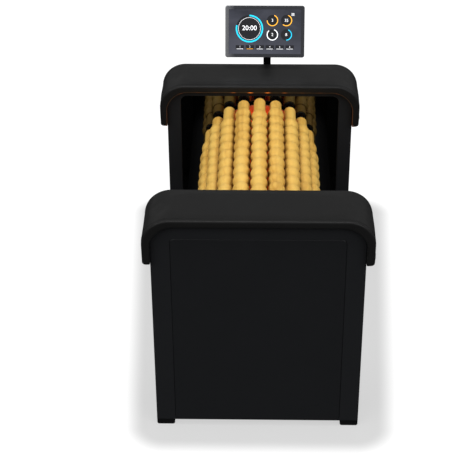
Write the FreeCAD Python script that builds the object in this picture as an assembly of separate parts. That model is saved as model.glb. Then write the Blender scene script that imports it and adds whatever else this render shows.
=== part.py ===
import FreeCAD, Part
import math
import os

# Roller drum massager: two upholstered towers carry a motor driven drum of beaded wooden rollers.
# Millimetres. X runs across the towers, Y from the front tower to the rear one, Z up from the floor.
# Everything is laid out about the plane half way between the towers and moved to its place by save().
# Pieces that both towers share are drawn on the rear one; front() turns them round for the front one.

V = FreeCAD.Vector
X_AXIS = V(1, 0, 0)
Y_AXIS = V(0, 1, 0)
Z_AXIS = V(0, 0, 1)

# ---- driving dimensions -------------------------------------------------------------------------
PAD_WIDTH = 800.0
LENGTH = 1220.0
HEIGHT = 906.0
PAD_THICKNESS = 28.0
PAD_DEPTH = 214.0
PAD_CORNER = 97.0
PAD_ARM_BOTTOM = 723.0
PAD_EDGE = 11.0
PAD_OVERHANG = 20.0

DRUM_Z = 628.0
RING_RADIUS = 205.0
ROLLER_COUNT = 20
ROLLER_LENGTH = 796.0
BEAD_COUNT = 10
BEAD_PITCH = 64.0
BEAD_RADIUS = 32.4
NECK_RADIUS = 26.3
ROLLER_END_RADIUS = 23.5

FOOT_HEIGHT = 25.0
FIT = 0.05
SNUG = 0.02

# ---- towers -------------------------------------------------------------------------------------
TOWER_HALF = PAD_WIDTH / 2 - PAD_THICKNESS
TOWER_TOP = HEIGHT - PAD_THICKNESS
TOWER_CORNER = 87.0
TOWER_OUT = LENGTH / 2 - PAD_OVERHANG
TOWER_IN = LENGTH / 2 - PAD_DEPTH + PAD_OVERHANG
SIDE_WALL = 4.0
FACE_WALL = 6.0
TOWER_FLOOR = FOOT_HEIGHT + SIDE_WALL
EDGE_ROUND = 4.0

WINDOW_HALF = 316.0
WINDOW_BOTTOM = TOWER_FLOOR + 3
WINDOW_TOP = 853.0
WINDOW_CORNER = 25.0
WINDOW_LIP = 4.0
PANEL_THICKNESS = 4.0
PANEL_LAP = 10.0
PANEL_BOTTOM = 100.0
HUB_HOLE = 52.0

COVER_HALF = 302.0
COVER_BOTTOM = 31.0
COVER_TOP = 821.0
COVER_CORNER = 15.0
COVER_THICKNESS = 3.0
COVER_GAP = 1.5
COVER_LEDGE = 11.0
COVER_BEVEL = 1.0
CHANNEL_X = 150.0
CHANNEL_HALF = 20.0
CHANNEL_DEPTH = 9.0
CHANNEL_SHEET = 3.0
CHANNEL_SPAN = (90.0, 760.0)

VENT_ROWS = 8
VENT_PITCH = 16.0
VENT_BOTTOM = 190.0
VENT_HEIGHT = 5.0
VENT_HALF = 55.0
VENT_X = 75.0

SCREW_INSET = 5.5
SCREW_END_INSET = 60.0
SCREW_RADIUS = 2.0
SCREW_LENGTH = 8.0
SCREW_HEAD = 4.0
SCREW_HEAD_HEIGHT = 2.4

STRIP_THICKNESS = 8.0
STRIP_WIDTH = 12.0
STRIP_INSET = 1.0
STRIP_RISE = 5.0

FOOT_WIDTH = 66.0
FOOT_ROUND = 8.0
FOOT_FLARE = 6.0
FOOT_INSET = 3.0

# ---- drum ---------------------------------------------------------------------------------------
ROLLER_HALF = ROLLER_LENGTH / 2
END_STAGGER = BEAD_PITCH / 2
PLAIN_ENDS = ROLLER_LENGTH - BEAD_COUNT * BEAD_PITCH
SHORT_END = (PLAIN_ENDS - END_STAGGER) / 2
RIM_ROUND = 3.0
ROD_RADIUS = 6.0
CORE_RADIUS = 8.0
SLEEVE_RADIUS = 16.0
SLEEVE_DEPTH = 30.0
SLEEVE_RIM = 4.0
SLEEVE_FLANGE = 1.7
NUT_RADIUS = 9.5
NUT_HEIGHT = 7.0
ROD_END = 9.0

DISC_IN = 400.0
DISC_THICKNESS = 8.0
DISC_OUT = DISC_IN + DISC_THICKNESS
DISC_RADIUS = 195.0
LOBE_RADIUS = 12.0
DISC_HOLES = 6
DISC_HOLE_RADIUS = 42.0
DISC_HOLE_RING = 118.0
HUB_RADIUS = 45.0
HUB_BORE = 35.0
FRONT_HUB_END = 476.0
REAR_HUB_END = 440.0
BEARING_WIDTH = 20.0
BEARING_RACE = 3.0
BEARING_STEP = 2.0

AXLE_RADIUS = 25.0
AXLE_BORE = 20.0
AXLE_HALF = 516.0
LAMP_RING = 147.0
LAMP_ANGLES = (-24.4, -11.5, 11.5, 24.4)
LAMP_RADIUS = 6.0
LAMP_CAP = 8.0
LAMP_CAP_LENGTH = 45.0
LAMP_HALF = 385.0
CARRIER_IN = 350.0
CARRIER_THICKNESS = 4.0
CARRIER_RADIUS = 162.0
CARRIER_COLLAR = 37.0
CARRIER_SPREAD = 38.0
REFLECTOR_RADIUS = 118.0
REFLECTOR_RIM = 150.0
REFLECTOR_SHEET = 1.5
REFLECTOR_SPREAD = 36.0

COLLAR_RADIUS = 44.0
COLLAR_WIDTH = 20.0
COLLAR_SPLIT = 2.0
COLLAR_EAR = 12.0
COLLAR_EAR_TOP = 62.0
COLLAR_BOLT = 4.0

# ---- frames, rails and casing -------------------------------------------------------------------
TUBE = 40.0
TUBE_WALL = 3.0
FRAME_IN = 480.0
FRAME_X = 280.0
FRAME_TOP = 842.0
PLATE_IN = 484.0
PLATE_HALF = 80.0
AXLE_PLATE = 8.0
GEAR_PLATE = 6.0
SHAFT_HOLE = 22.0
RAIL_HEIGHT = 60.0
RAIL_X = 240.0
RAIL_BOTTOM = TOWER_FLOOR + 4

CASING_HALF = 314.0
CASING_BOTTOM = 34.0
CASING_SHOULDER = 250.0
CASING_CREST = 428.0
CASING_WALL = 2.5
CASING_LEDGE = 14.0
TROUGH_RADIUS = 252.0

# ---- drive --------------------------------------------------------------------------------------
DRIVE_Z = 250.0
DRIVE_RADIUS = 35.0
DRIVEN_RADIUS = 100.0
IDLER_RADIUS = 25.0
IDLER_X = 86.0
IDLER_Z = 425.0
IDLER_STUD = 8.0
IDLER_STRAP = 30.0
STUD_STEP = 4.0
STUD_OVERHANG = 6.0
STUD_HEAD = 2.0
SHAFT_RADIUS = 12.5
SHAFT_END = 540.0
KEY_BORE = 5.0

BELT_IN = 443.0
RIB_COUNT = 5
RIB_PITCH = 4.6
RIB_WIDTH = 2.6
RIB_DEPTH = 2.0
GROOVE_WIDTH = 3.2
GROOVE_DEPTH = 2.6
BELT_THICKNESS = 3.0
BELT_GAP = 0.35
BELT_WIDTH = RIB_COUNT * RIB_PITCH
FLANGE_RISE = 4.0
FLANGE_WIDTH = 3.0
BOSS_WIDTH = 4.0
SPOKE_HOLES = 5
SPOKE_HOLE_RADIUS = 13.0
SPOKE_HOLE_RING = 74.0

GEARBOX_HALF = 58.0
GEARBOX_DEPTH = 84.0
GEARBOX_CORNER = 14.0
MOTOR_RADIUS = 36.0
MOTOR_START = 50.0
MOTOR_LENGTH = 195.0
FIN_COUNT = 12
FIN_PITCH = 12.0
FIN_RADIUS = 42.0
FIN_WIDTH = 4.0

CONTROL_HALF = 110.0
CONTROL_TALL = 65.0
CONTROL_DEPTH = 55.0
SINK_FINS = 13
SINK_PITCH = 17.0
SINK_FIN = 3.0
SINK_DEPTH = 23.0

INLET_X = 215.0
INLET_Z = 96.0
ROCKER_PIVOT_Y = TOWER_OUT - 1.5
ROCKER_PIVOT_Z = INLET_Z + 14.0
ROCKER_HALF = 13.5
ROCKER_TILT = 8.0
ROCKER_PIN = 1.5
ROCKER_PIN_LENGTH = 31.0

# ---- display ------------------------------------------------------------------------------------
POST_X = 29.0
POST_Y = 630.0
POST_RADIUS = 15.0
POST_WALL = 2.0
POST_PLUG = 6.0
POST_BOTTOM = 560.0
POST_TOP = 985.0
BRACKET_HEIGHTS = (590.0, 790.0)
BRACKET_RADIUS = 19.0
BRACKET_TALL = 14.0
BRACKET_PLATE = 5.0
HEAD_RADIUS = 20.0
HEAD_BELOW = 34.0
HEAD_ABOVE = 18.0
HEAD_ROUND = 3.0
HEAD_CLEARANCE = 0.3
PIVOT_Z = 1030.0
PIVOT = V(POST_X, POST_Y, PIVOT_Z)
EAR_IN = 11.0
EAR_OUT = 17.0
EAR_RADIUS = 13.0
EAR_PLAY = 0.4
PIN_RADIUS = 5.0
PIN_TAIL = 4.0
KNOB_RADIUS = 13.0
KNOB_LENGTH = 14.0
KNOB_NOTCHES = 10
KNOB_NOTCH = 2.2

DISPLAY_X = 19.0
DISPLAY_TILT = 20.0
DISPLAY_WIDTH = 318.0
DISPLAY_HEIGHT = 206.0
DISPLAY_DEPTH = 26.0
DISPLAY_FRONT = 14.0
DISPLAY_STANDOFF = 30.0
DISPLAY_RISE = 11.0
DISPLAY_CORNER = 9.0
DISPLAY_ROUND = 2.0
BACK_INSET = 26.0
BACK_CORNER = 12.0
BEZEL = 14.0
GLASS_CORNER = 2.0
GLASS_GAP = 0.2
GLASS_SEAT = 3.0
GLASS_THICKNESS = 2.6
PLATE_SIDE = 50.0
PLATE_SHEET = 4.0

# The rearmost piece is the swivel head; this puts the middle of the whole object over the origin.
SHIFT_Y = (LENGTH / 2 - (POST_Y + HEAD_RADIUS)) / 2


# ---- helpers ------------------------------------------------------------------------------------
def save(name, shape):
    """Moves a finished piece to its place about the origin and writes it as one STEP file."""
    placed = shape.copy()
    placed.translate(V(0, SHIFT_Y, 0))
    if not placed.isValid():
        raise ValueError(name + " is not a valid shape")
    placed.exportStep(os.path.join("parts", name + ".step"))
    print(name, len(placed.Solids), "solids", len(placed.Faces), "faces", round(placed.Volume / 1000), "cm3")


def group(shapes):
    """Separate solids kept together in one node."""
    return Part.makeCompound([solid for shape in shapes for solid in shape.Solids])


def front(shape):
    """The same piece mirrored to the front tower."""
    return shape.mirror(V(0, 0, 0), Y_AXIS)


def arc(a, b, c):
    return Part.Arc(a, b, c).toShape()


def line(a, b):
    return Part.LineSegment(a, b).toShape()


def prism(edges, y0, y1):
    """Extrudes a closed outline that lies in the XZ plane from y0 to y1."""
    outline = Part.Wire(Part.__sortEdges__(edges))
    outline.translate(V(0, y0, 0))
    return Part.Face(outline).extrude(V(0, y1 - y0, 0))


def corner(cx, cz, radius, start, end):
    """An arc in the XZ plane between two angles in degrees, measured from +X towards +Z."""
    points = []
    for degrees in (start, (start + end) / 2, end):
        angle = math.radians(degrees)
        points.append(V(cx + radius * math.cos(angle), 0, cz + radius * math.sin(angle)))
    return arc(*points)


def arch(half, bottom, top, radius, y0, y1):
    """A block with a flat bottom and two rounded top corners."""
    cx = half - radius
    cz = top - radius
    edges = [
        line(V(-half, 0, bottom), V(half, 0, bottom)),
        line(V(half, 0, bottom), V(half, 0, cz)),
        corner(cx, cz, radius, 0, 90),
        line(V(cx, 0, top), V(-cx, 0, top)),
        corner(-cx, cz, radius, 90, 180),
        line(V(-half, 0, cz), V(-half, 0, bottom)),
    ]
    return prism(edges, y0, y1)


def slab(x0, x1, z0, z1, radius, y0, y1):
    """A plate facing Y with four rounded corners."""
    edges = [
        line(V(x0 + radius, 0, z0), V(x1 - radius, 0, z0)),
        corner(x1 - radius, z0 + radius, radius, -90, 0),
        line(V(x1, 0, z0 + radius), V(x1, 0, z1 - radius)),
        corner(x1 - radius, z1 - radius, radius, 0, 90),
        line(V(x1 - radius, 0, z1), V(x0 + radius, 0, z1)),
        corner(x0 + radius, z1 - radius, radius, 90, 180),
        line(V(x0, 0, z1 - radius), V(x0, 0, z0 + radius)),
        corner(x0 + radius, z0 + radius, radius, 180, 270),
    ]
    return prism(edges, y0, y1)


def box(x0, x1, y0, y1, z0, z1):
    return Part.makeBox(x1 - x0, y1 - y0, z1 - z0, V(x0, y0, z0))


def bar(radius, y0, y1, x=0.0, z=0.0):
    """A cylinder along Y."""
    return Part.makeCylinder(radius, y1 - y0, V(x, y0, z), Y_AXIS)


def pin(radius, x0, x1, y, z):
    """A cylinder along X."""
    return Part.makeCylinder(radius, x1 - x0, V(x0, y, z), X_AXIS)


def stub(radius, z0, z1):
    """A cylinder along Z on the display post's line."""
    return Part.makeCylinder(radius, z1 - z0, V(POST_X, POST_Y, z0), Z_AXIS)


def ring(outer, inner, y0, y1, x=0.0, z=0.0):
    return bar(outer, y0, y1, x, z).cut(bar(inner, y0 - 1, y1 + 1, x, z))


def around(count, radius, start=0.0):
    """Places on a circle in the XZ plane, from the top one towards +X."""
    places = []
    for index in range(count):
        angle = math.radians(start) + 2 * math.pi * index / count
        places.append((radius * math.sin(angle), radius * math.cos(angle)))
    return places


def turned(points, x=0.0, z=0.0):
    """Revolves an outline of (radius, y) points about a line along Y."""
    corners = [V(radius, y, 0) for radius, y in points]
    shape = Part.Face(Part.makePolygon(corners + corners[:1])).revolve(V(0, 0, 0), Y_AXIS, 360)
    shape.translate(V(x, 0, z))
    return shape


def edges_where(shape, test):
    """Edges whose two end points and middle all pass the test."""
    found = []
    for edge in shape.Edges:
        first, last = edge.ParameterRange
        points = [edge.valueAt(first), edge.valueAt((first + last) / 2), edge.valueAt(last)]
        if all(test(point) for point in points):
            found.append(edge)
    return found


def on_y(y):
    return lambda point: abs(point.y - y) < 0.01


# ---- towers -------------------------------------------------------------------------------------
def tower_shell():
    """Moulded housing: window towards the drum, rebated opening on the outside."""
    body = arch(TOWER_HALF, FOOT_HEIGHT, TOWER_TOP, TOWER_CORNER, TOWER_IN, TOWER_OUT)
    rims = edges_where(body, lambda p: on_y(TOWER_IN)(p) or on_y(TOWER_OUT)(p))
    body = body.makeFillet(EDGE_ROUND, rims)
    inside = arch(
        TOWER_HALF - SIDE_WALL, TOWER_FLOOR, TOWER_TOP - SIDE_WALL, TOWER_CORNER - SIDE_WALL,
        TOWER_IN + FACE_WALL, TOWER_OUT - FACE_WALL,
    )
    window = arch(
        WINDOW_HALF, WINDOW_BOTTOM, WINDOW_TOP, WINDOW_CORNER, TOWER_IN - 1, TOWER_IN + FACE_WALL + 1
    )
    shell = body.cut(inside).cut(window).cut(cover_rebate())
    lip = [edge for edge in edges_where(shell, on_y(TOWER_IN)) if is_window_lip(edge)]
    return shell.makeFillet(WINDOW_LIP, lip)


def cover_rebate():
    """Space for the cover and the opening behind it, which leaves a ledge all round."""
    reach = COVER_HALF + COVER_GAP
    throat = COVER_HALF - COVER_LEDGE
    rebate = slab(
        -reach, reach, COVER_BOTTOM - COVER_GAP, COVER_TOP + COVER_GAP, COVER_CORNER + COVER_GAP,
        TOWER_OUT - COVER_THICKNESS, TOWER_OUT + 1,
    )
    opening = slab(
        -throat, throat, COVER_BOTTOM + COVER_LEDGE, COVER_TOP - COVER_LEDGE, COVER_CORNER - COVER_LEDGE / 2,
        TOWER_OUT - FACE_WALL - 1, TOWER_OUT,
    )
    return rebate.fuse(opening)


def is_window_lip(edge):
    """True for the sides, corners and top of the window, and not for its sill."""
    middle = edge.CenterOfMass
    return abs(middle.x) < WINDOW_HALF + 1 and WINDOW_BOTTOM + 1 < middle.z < WINDOW_TOP + 1


def inner_panel():
    """Gloss panel behind the window of a tower, with the hole for the drum's hub."""
    reach = WINDOW_HALF + PANEL_LAP
    y0 = TOWER_IN + FACE_WALL
    y1 = y0 + PANEL_THICKNESS
    sheet = slab(-reach, reach, PANEL_BOTTOM, WINDOW_TOP + PANEL_LAP, WINDOW_CORNER, y0, y1)
    return sheet.cut(bar(HUB_HOLE, y0 - 1, y1 + 1, 0, DRUM_Z))


def cover():
    """Removable outer cover, flush in its rebate, with two stiffening channels on the back."""
    back = TOWER_OUT - COVER_THICKNESS
    sheet = slab(-COVER_HALF, COVER_HALF, COVER_BOTTOM, COVER_TOP, COVER_CORNER, back, TOWER_OUT)
    sheet = sheet.makeChamfer(COVER_BEVEL, edges_where(sheet, on_y(TOWER_OUT)))
    inner = CHANNEL_HALF - CHANNEL_SHEET
    floor = back - CHANNEL_DEPTH + CHANNEL_SHEET
    for x in (-CHANNEL_X, CHANNEL_X):
        channel = box(x - CHANNEL_HALF, x + CHANNEL_HALF, back - CHANNEL_DEPTH, back, *CHANNEL_SPAN)
        hollow = box(x - inner, x + inner, floor, back, *CHANNEL_SPAN)
        sheet = sheet.fuse(channel.cut(hollow))
    return sheet.removeSplitter()


def rear_cover():
    """The rear cover also has air slots, screw holes and the cut-out for the mains inlet."""
    y0 = TOWER_OUT - COVER_THICKNESS - 1
    y1 = TOWER_OUT + 1
    cuts = [slab(INLET_X - 24, INLET_X + 24, INLET_Z - 28, INLET_Z + 28, 3, y0, y1)]
    for x in (-VENT_X, VENT_X):
        for row in range(VENT_ROWS):
            z = VENT_BOTTOM + VENT_PITCH * row
            cuts.append(slab(x - VENT_HALF, x + VENT_HALF, z, z + VENT_HEIGHT, VENT_HEIGHT / 2 - 0.1, y0, y1))
    return cover().cut(Part.makeCompound(cuts + screw_holes()))


def screw_places():
    """Three places on the ledge along each side of the rear cover."""
    x = COVER_HALF - SCREW_INSET
    middle = (COVER_BOTTOM + COVER_TOP) / 2
    heights = (COVER_BOTTOM + SCREW_END_INSET, middle, COVER_TOP - SCREW_END_INSET)
    return [(side * x, z) for side in (-1, 1) for z in heights]


def screw_holes():
    start = TOWER_OUT - SCREW_LENGTH - 1
    return [bar(SCREW_RADIUS + FIT, start, TOWER_OUT + 1, x, z) for x, z in screw_places()]


def cover_screws():
    """Socket button screws that hold the rear cover on its ledge."""
    tip = TOWER_OUT - SCREW_LENGTH
    crown = TOWER_OUT + SCREW_HEAD_HEIGHT
    points = [
        (0, tip), (SCREW_RADIUS - 0.4, tip), (SCREW_RADIUS, tip + 0.6), (SCREW_RADIUS, TOWER_OUT),
        (SCREW_HEAD, TOWER_OUT), (SCREW_HEAD - 0.5, crown - 0.9), (SCREW_HEAD - 1.6, crown), (0, crown),
    ]
    screws = []
    for x, z in screw_places():
        socket = hexagon(SCREW_RADIUS * 0.7, crown - 1.4, crown + 1, x, z)
        screws.append(turned(points, x, z).cut(socket))
    return group(screws)


def hexagon(radius, y0, y1, x, z):
    """A six-sided bar along Y."""
    corners = [V(x + dx, y0, z + dz) for dx, dz in around(6, radius)]
    return Part.Face(Part.makePolygon(corners + corners[:1])).extrude(V(0, y1 - y0, 0))


def pad():
    """Upholstered saddle over a tower, with a rebate for the light strip along its drum side."""
    y0 = LENGTH / 2 - PAD_DEPTH
    y1 = LENGTH / 2
    below = PAD_ARM_BOTTOM - 1
    body = arch(PAD_WIDTH / 2, PAD_ARM_BOTTOM, HEIGHT, PAD_CORNER, y0, y1)
    body = body.makeFillet(PAD_EDGE, [edge for edge in body.Edges if not is_corner_seam(edge)])
    body = body.cut(arch(TOWER_HALF, below, TOWER_TOP, TOWER_CORNER, y0 - 1, y1 + 1))
    return body.cut(strip_block(STRIP_INSET + STRIP_WIDTH, below, y0 - 1))


def is_corner_seam(edge):
    """True for the seams along Y where a pad's flat faces run into its rounded corners."""
    first, last = edge.ParameterRange
    middle = edge.valueAt((first + last) / 2)
    return abs(edge.tangentAt(first).y) > 0.99 and middle.z > PAD_ARM_BOTTOM + 1


def strip_block(depth, bottom, y0):
    """The arch that the light strip fills, from y0 to a depth behind the pad's drum side."""
    half = TOWER_HALF + STRIP_THICKNESS
    top = TOWER_TOP + STRIP_THICKNESS
    return arch(half, bottom, top, TOWER_CORNER + STRIP_THICKNESS, y0, LENGTH / 2 - PAD_DEPTH + depth)


def light_strip():
    """Amber diffuser under the lip of a pad, round the tower's window side."""
    y0 = LENGTH / 2 - PAD_DEPTH + STRIP_INSET
    bottom = PAD_ARM_BOTTOM + STRIP_RISE
    band = strip_block(STRIP_INSET + STRIP_WIDTH, bottom, y0)
    return band.cut(arch(TOWER_HALF, bottom - 1, TOWER_TOP, TOWER_CORNER, y0 - 1, y0 + STRIP_WIDTH + 1))


def foot():
    """Foot under one corner of a tower, flared where it meets the housing."""
    x1 = TOWER_HALF
    x0 = TOWER_HALF - FOOT_WIDTH
    top = FOOT_HEIGHT
    r = FOOT_ROUND
    flare = FOOT_FLARE
    y0 = TOWER_IN + FOOT_INSET
    y1 = TOWER_OUT - FOOT_INSET
    edges = [
        line(V(x0 + r, 0, 0), V(x1 - r, 0, 0)),
        corner(x1 - r, r, r, -90, 0),
        line(V(x1, 0, r), V(x1, 0, top)),
        line(V(x1, 0, top), V(x0 - flare, 0, top)),
        corner(x0 - flare, top - flare, flare, 0, 90),
        line(V(x0, 0, top - flare), V(x0, 0, r)),
        corner(x0 + r, r, r, 180, 270),
    ]
    block = prism(edges, y0, y1)
    ends = edges_where(block, lambda p: p.z < r + 0.1 and (on_y(y0)(p) or on_y(y1)(p)))
    return block.makeChamfer(FOOT_INSET, ends)


def feet():
    corners = []
    for piece in (foot(), front(foot())):
        corners += [piece, piece.mirror(V(0, 0, 0), X_AXIS)]
    return group(corners)


# ---- frames, rails and casing -------------------------------------------------------------------
def tube_z(x, z0, z1):
    outer = TUBE / 2
    inner = outer - TUBE_WALL
    y = FRAME_IN + outer
    tube = box(x - outer, x + outer, y - outer, y + outer, z0, z1)
    return tube.cut(box(x - inner, x + inner, y - inner, y + inner, z0 - 1, z1 + 1))


def tube_x(x0, x1, z0):
    y0 = FRAME_IN
    wall = TUBE_WALL
    tube = box(x0, x1, y0, y0 + TUBE, z0, z0 + TUBE)
    return tube.cut(box(x0 - 1, x1 + 1, y0 + wall, y0 + TUBE - wall, z0 + wall, z0 + TUBE - wall))


def cross_plate(thickness, z, hole):
    """Plate between a frame's uprights with one round hole in the middle."""
    side = FRAME_X - TUBE / 2
    plate = box(-side, side, PLATE_IN, PLATE_IN + thickness, z - PLATE_HALF, z + PLATE_HALF)
    return plate.cut(bar(hole, PLATE_IN - 1, PLATE_IN + thickness + 1, 0, z))


def frame():
    """Welded tube frame inside a tower, with the plate that holds the axle and the plate for the drive."""
    side = FRAME_X - TUBE / 2
    upright = tube_z(-FRAME_X, TOWER_FLOOR, FRAME_TOP)
    others = [tube_z(FRAME_X, TOWER_FLOOR, FRAME_TOP)]
    others += [tube_x(-side, side, TOWER_FLOOR), tube_x(-side, side, FRAME_TOP - TUBE)]
    others.append(cross_plate(AXLE_PLATE, DRUM_Z, AXLE_RADIUS + FIT))
    others.append(cross_plate(GEAR_PLATE, DRIVE_Z, SHAFT_HOLE))
    return upright.multiFuse(others).removeSplitter()


def front_frame():
    """The front frame also has the strap and stud that carry the belt's idler."""
    x0 = IDLER_X - IDLER_STRAP
    x1 = IDLER_X + IDLER_STRAP
    start = BELT_IN - STUD_OVERHANG
    step = IDLER_STUD + STUD_STEP
    strap = box(x0, x1, PLATE_IN, PLATE_IN + GEAR_PLATE, DRIVE_Z + PLATE_HALF, DRUM_Z - PLATE_HALF)
    stud = bar(IDLER_STUD, start, PLATE_IN, IDLER_X, IDLER_Z)
    head = bar(step, start, start + STUD_HEAD, IDLER_X, IDLER_Z)
    shoulder = bar(step, BELT_IN + BELT_WIDTH + STUD_STEP, PLATE_IN, IDLER_X, IDLER_Z)
    return front(frame().fuse([strap, stud, head, shoulder]).removeSplitter())


def base_rails():
    """Two box rails along the floor that tie the frames together."""
    outer = TUBE / 2
    inner = outer - TUBE_WALL
    z0 = RAIL_BOTTOM
    z1 = RAIL_BOTTOM + RAIL_HEIGHT
    rails = []
    for x in (-RAIL_X, RAIL_X):
        rail = box(x - outer, x + outer, -FRAME_IN, FRAME_IN, z0, z1)
        bore = box(x - inner, x + inner, -FRAME_IN - 1, FRAME_IN + 1, z0 + TUBE_WALL, z1 - TUBE_WALL)
        rails.append(rail.cut(bore))
    return group(rails)


def casing_outline(inset):
    """Half-round trough below the drum between two curved shoulders; inset moves every wall inwards."""
    drop = DRUM_Z - CASING_CREST
    rise = CASING_CREST - CASING_SHOULDER
    run = CASING_HALF - math.sqrt(TROUGH_RADIUS ** 2 - drop ** 2) - CASING_LEDGE
    bend = (run ** 2 + rise ** 2) / (2 * run)
    centre_x = CASING_HALF - bend
    half = CASING_HALF - inset
    bottom = CASING_BOTTOM - inset
    crest = CASING_CREST - inset
    trough = TROUGH_RADIUS + inset
    lip_x = math.sqrt(trough ** 2 - (DRUM_Z - crest) ** 2)
    turn = math.degrees(math.asin((crest - CASING_SHOULDER) / (bend - inset)))
    crest_x = centre_x + (bend - inset) * math.cos(math.radians(turn))
    return [
        line(V(-half, 0, bottom), V(half, 0, bottom)),
        line(V(half, 0, bottom), V(half, 0, CASING_SHOULDER)),
        corner(centre_x, CASING_SHOULDER, bend - inset, 0, turn),
        line(V(crest_x, 0, crest), V(lip_x, 0, crest)),
        arc(V(lip_x, 0, crest), V(0, 0, DRUM_Z - trough), V(-lip_x, 0, crest)),
        line(V(-lip_x, 0, crest), V(-crest_x, 0, crest)),
        corner(-centre_x, CASING_SHOULDER, bend - inset, 180 - turn, 180),
        line(V(-half, 0, CASING_SHOULDER), V(-half, 0, bottom)),
    ]


def lower_casing():
    """Sheet casing between the towers, open below and closed by the towers at its ends."""
    reach = TOWER_IN + FACE_WALL
    outer = prism(casing_outline(0), -reach, reach)
    inner = prism(casing_outline(CASING_WALL), -reach - 1, reach + 1)
    return outer.cut(inner)


# ---- rollers ------------------------------------------------------------------------------------
def at(radius, y):
    """A point of an outline that is turned about the Y axis."""
    return V(radius, y, 0)


def bead_edges(start):
    """Crowns and necks of the beads, as arcs that run into each other without a step."""
    reach = BEAD_PITCH / 2
    slope = 2 * math.atan((BEAD_RADIUS - NECK_RADIUS) / reach)
    both = reach / math.sin(slope)
    crown = both * 2 / 3
    neck = both / 3
    turn_y = crown * math.sin(slope)
    turn_r = BEAD_RADIUS - crown * (1 - math.cos(slope))
    half_r = NECK_RADIUS + neck * (1 - math.cos(slope / 2))
    half_y = neck * math.sin(slope / 2)
    end = start + BEAD_COUNT * BEAD_PITCH
    edges = [
        arc(at(NECK_RADIUS, start), at(half_r, start + half_y), at(turn_r, start + reach - turn_y)),
        arc(at(NECK_RADIUS, end), at(half_r, end - half_y), at(turn_r, end - reach + turn_y)),
    ]
    for index in range(BEAD_COUNT):
        middle = start + reach + index * BEAD_PITCH
        low = at(turn_r, middle - turn_y)
        high = at(turn_r, middle + turn_y)
        edges.append(arc(low, at(BEAD_RADIUS, middle), high))
        if index > 0:
            before = at(turn_r, middle - BEAD_PITCH + turn_y)
            edges.append(arc(before, at(NECK_RADIUS, middle - reach), low))
    return edges


def end_edges(end, beads, inward):
    """Socket for the sleeve, rounded rim and plain barrel; inward is 1 at the -Y end and -1 at the other."""
    floor = end + inward * SLEEVE_DEPTH
    bend = RIM_ROUND * (1 - math.sqrt(0.5))
    face = at(ROLLER_END_RADIUS - RIM_ROUND, end)
    side = at(ROLLER_END_RADIUS, end + inward * RIM_ROUND)
    return [
        line(at(CORE_RADIUS, floor), at(SLEEVE_RADIUS, floor)),
        line(at(SLEEVE_RADIUS, floor), at(SLEEVE_RADIUS, end)),
        line(at(SLEEVE_RADIUS, end), face),
        arc(face, at(ROLLER_END_RADIUS - bend, end + inward * bend), side),
        line(side, at(ROLLER_END_RADIUS, beads)),
        line(at(ROLLER_END_RADIUS, beads), at(NECK_RADIUS, beads)),
    ]


def roller():
    """One turned roller on the Y axis, bored through, with its short plain end towards -Y."""
    start = -ROLLER_HALF + SHORT_END
    end = start + BEAD_COUNT * BEAD_PITCH
    bore = ROLLER_HALF - SLEEVE_DEPTH
    edges = bead_edges(start) + end_edges(-ROLLER_HALF, start, 1) + end_edges(ROLLER_HALF, end, -1)
    edges.append(line(at(CORE_RADIUS, -bore), at(CORE_RADIUS, bore)))
    outline = Part.Wire(Part.__sortEdges__(edges))
    return Part.Face(outline).revolve(V(0, 0, 0), Y_AXIS, 360)


def ring_places():
    """Centres of the rollers round the drum, from the top one towards +X."""
    return [(x, DRUM_Z + z) for x, z in around(ROLLER_COUNT, RING_RADIUS)]


def save_rollers():
    """Neighbours are turned end for end, so that the beads of one face the necks of the next."""
    blank = roller()
    turned_round = front(blank)
    for index, (x, z) in enumerate(ring_places()):
        piece = (blank if index % 2 == 0 else turned_round).copy()
        piece.translate(V(x, 0, z))
        save("roller_%02d" % (index + 1), piece)


def roller_axles():
    """A fixed rod through every roller, with both ends beyond the discs."""
    reach = DISC_OUT + ROD_END
    return group([bar(ROD_RADIUS, -reach, reach, x, z) for x, z in ring_places()])


def roller_sleeves():
    """Flanged plain bearings on the rods, one in each end of every roller."""
    bore = ROD_RADIUS + SNUG
    outside = SLEEVE_RADIUS - FIT
    flange = SLEEVE_RADIUS + SLEEVE_RIM
    inner_y = DISC_IN - SLEEVE_DEPTH - 1
    flange_y = DISC_IN - SLEEVE_FLANGE
    points = [
        (bore, inner_y), (outside, inner_y), (outside, flange_y),
        (flange, flange_y), (flange, DISC_IN), (bore, DISC_IN),
    ]
    sleeves = []
    for x, z in ring_places():
        sleeve = turned(points, x, z)
        sleeves += [sleeve, front(sleeve)]
    return group(sleeves)


def axle_nuts():
    """Hexagon nuts on both ends of every rod."""
    nuts = []
    for x, z in ring_places():
        nut = hexagon(NUT_RADIUS, DISC_OUT, DISC_OUT + NUT_HEIGHT, x, z)
        nut = nut.cut(bar(ROD_RADIUS + SNUG, DISC_OUT - 1, DISC_OUT + NUT_HEIGHT + 1, x, z))
        nuts += [nut, front(nut)]
    return group(nuts)


# ---- drum ---------------------------------------------------------------------------------------
def drum_disc(hub_end):
    """End disc with its hub, a lobe round the seat of every rod and six lightening holes."""
    disc = bar(DISC_RADIUS, DISC_IN, DISC_OUT, 0, DRUM_Z)
    lobes = [bar(LOBE_RADIUS, DISC_IN, DISC_OUT, x, z) for x, z in ring_places()]
    disc = disc.multiFuse(lobes + [bar(HUB_RADIUS, DISC_OUT, hub_end, 0, DRUM_Z)])
    cuts = [bar(HUB_BORE, DISC_IN - 1, hub_end + 1, 0, DRUM_Z)]
    for x, z in around(DISC_HOLES, DISC_HOLE_RING):
        cuts.append(bar(DISC_HOLE_RADIUS, DISC_IN - 1, DISC_OUT + 1, x, DRUM_Z + z))
    cuts += [bar(ROD_RADIUS + FIT, DISC_IN - 1, DISC_OUT + 1, x, z) for x, z in ring_places()]
    return disc.cut(Part.makeCompound(cuts)).removeSplitter()


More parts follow.
